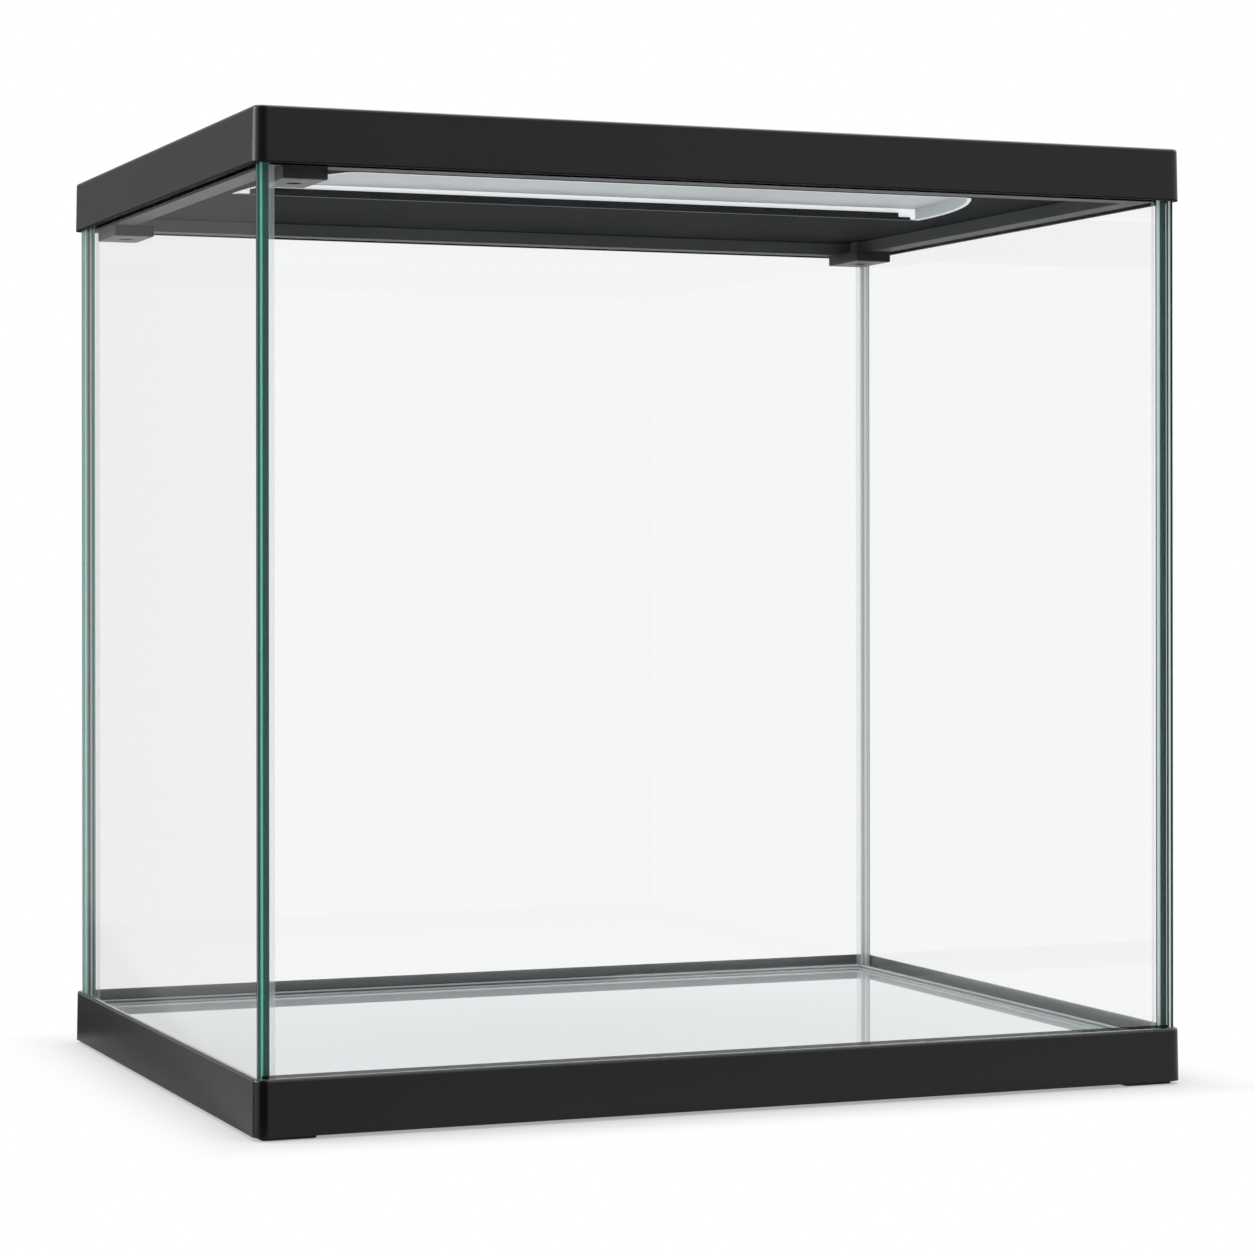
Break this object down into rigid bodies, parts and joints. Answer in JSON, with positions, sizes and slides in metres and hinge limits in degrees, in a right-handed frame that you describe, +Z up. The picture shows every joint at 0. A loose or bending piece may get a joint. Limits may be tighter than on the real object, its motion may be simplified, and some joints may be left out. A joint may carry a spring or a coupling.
{
  "type": "cube aquarium",
  "caption": "Rimmed glass aquarium with a black base frame and a lift-off black lighting hood with a feed flap and a push switch.",
  "frame": {"origin": "on the table, under the middle of the base frame", "axes": "+X to the right seen from the front, +Y to the rear, +Z up"},
  "size_m": [0.4, 0.304, 0.3905],
  "materials": {
    "black_moulding": "fine satin moulding",
    "float_glass": "polished faces, ground edges that look green",
    "clear_silicone": "clear tooled silicone",
    "foot_rubber": "matte",
    "frosted_lens": "frosted, with a smooth pale rim",
    "board_metal": "white coated",
    "lamp_resin": "clear resin over phosphor",
    "blackened_steel": "blackened",
    "stainless_steel": "drawn",
    "circuit_laminate": "lacquered",
    "socket_plastic": "moulded",
    "pin_brass": "bright",
    "lead_sheath": "smooth"
  },
  "bodies": {
    "tank": {"base_frame": "black_moulding", "floor_glass": "float_glass", "floor_seal": "clear_silicone", "foot_front_left": "foot_rubber", "foot_front_right": "foot_rubber", "foot_rear_left": "foot_rubber", "foot_rear_right": "foot_rubber", "front_glass": "float_glass", "glass_bedding": "clear_silicone", "left_glass": "float_glass", "rear_glass": "float_glass", "right_glass": "float_glass", "seal_front_left": "clear_silicone", "seal_front_right": "clear_silicone", "seal_rear_left": "clear_silicone", "seal_rear_right": "clear_silicone"},
    "hood": {"block_front_left": "black_moulding", "block_rear_left": "black_moulding", "block_rear_right": "black_moulding", "block_screw_front_left": "blackened_steel", "block_screw_rear_left": "blackened_steel", "block_screw_rear_right": "blackened_steel", "board_screws": "blackened_steel", "flap_hinge_rod": "stainless_steel", "hood_shell": "black_moulding", "inlet_leads": "lead_sheath", "inlet_pin": "pin_brass", "inlet_socket": "socket_plastic", "leds": "lamp_resin", "lens_retainer": "black_moulding", "lens_seal": "clear_silicone", "light_board": "board_metal", "light_diffuser": "frosted_lens", "light_leads": "lead_sheath", "light_panel": "black_moulding", "switch_board": "circuit_laminate", "switch_body": "socket_plastic"},
    "flap": {"feed_flap": "black_moulding"},
    "button": {"switch_button": "black_moulding", "switch_plunger": "socket_plastic"}
  },
  "joints": [
    {"name": "hood_lift", "type": "slide", "parent": "tank", "child": "hood", "axis": [0, 0, 1], "range_m": [0, 0.1]},
    {"name": "flap_hinge", "type": "hinge", "parent": "hood", "child": "flap", "pos_m": [0, -0.091, 0.3881], "axis": [-1, 0, 0], "range_deg": [0, 105]},
    {"name": "button_press", "type": "slide", "parent": "hood", "child": "button", "axis": [0, 0, -1], "range_m": [0, 0.0012], "stiffness_N_per_m": 1200, "springref_m": -0.001}
  ]
}
